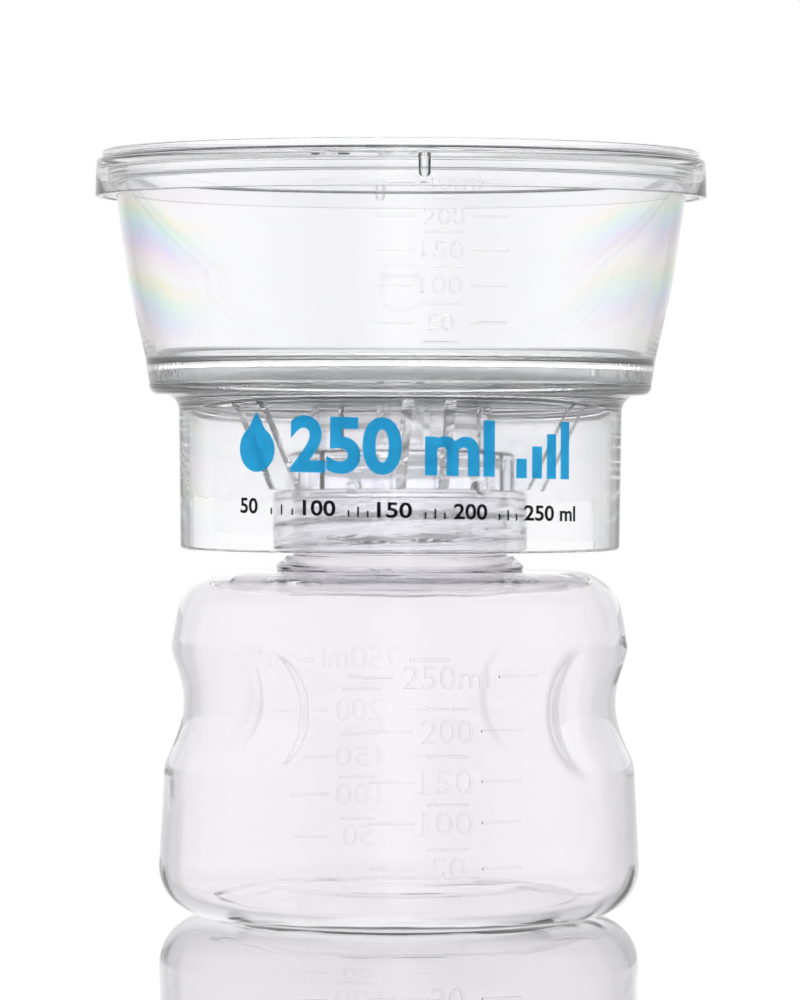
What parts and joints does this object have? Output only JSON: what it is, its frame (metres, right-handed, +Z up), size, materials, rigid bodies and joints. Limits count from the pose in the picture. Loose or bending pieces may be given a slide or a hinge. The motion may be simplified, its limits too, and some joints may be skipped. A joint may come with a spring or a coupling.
{
  "type": "vacuum filtration unit",
  "caption": "Clear plastic vacuum filter unit: lidded tapered reservoir over a membrane, on a skirted screw-on base with hose nozzle, above a receiver bottle with finger grips.",
  "frame": {"origin": "centre of the receiver bottle's foot, on the surface it stands on", "axes": "+Z up along the axis of bottle, base, reservoir and lid; -Y towards the front, where the label and the graduations are; the hose nozzle is at +Y"},
  "size_m": [0.116, 0.116, 0.1449],
  "materials": {
    "bottle_plastic": "clear blow-moulded polystyrene, glossy",
    "gasket_rubber": "soft translucent silicone",
    "base_plastic": "clear injection-moulded polystyrene, glossy",
    "membrane_film": "matt white microporous polyethersulfone",
    "reservoir_plastic": "clear injection-moulded polystyrene, glossy",
    "lid_plastic": "clear injection-moulded polystyrene, glossy",
    "label_film": "clear self-adhesive film printed in blue and black"
  },
  "bodies": {
    "bottle": {"receiver_bottle": "bottle_plastic"},
    "seal": {"neck_gasket": "gasket_rubber"},
    "head": {"filter_base": "base_plastic", "membrane": "membrane_film", "reservoir": "reservoir_plastic", "label": "label_film"},
    "lid": {"lid": "lid_plastic"}
  },
  "joints": [
    {"name": "head_rise", "type": "slide", "parent": "bottle", "child": "seal", "axis": [0, 0, 1], "range_m": [0, 0.0108]},
    {"name": "head_turn", "type": "hinge", "parent": "seal", "child": "head", "pos_m": [0, 0, 0.08], "axis": [0, 0, 1], "range_deg": [0, 900]},
    {"name": "lid_lift", "type": "slide", "parent": "head", "child": "lid", "axis": [0, 0, 1], "range_m": [0, 0.03]}
  ],
  "couplings": [
    {"joint": "head_rise", "follows": "head_turn", "m_per_rad": 0.00067376}
  ]
}
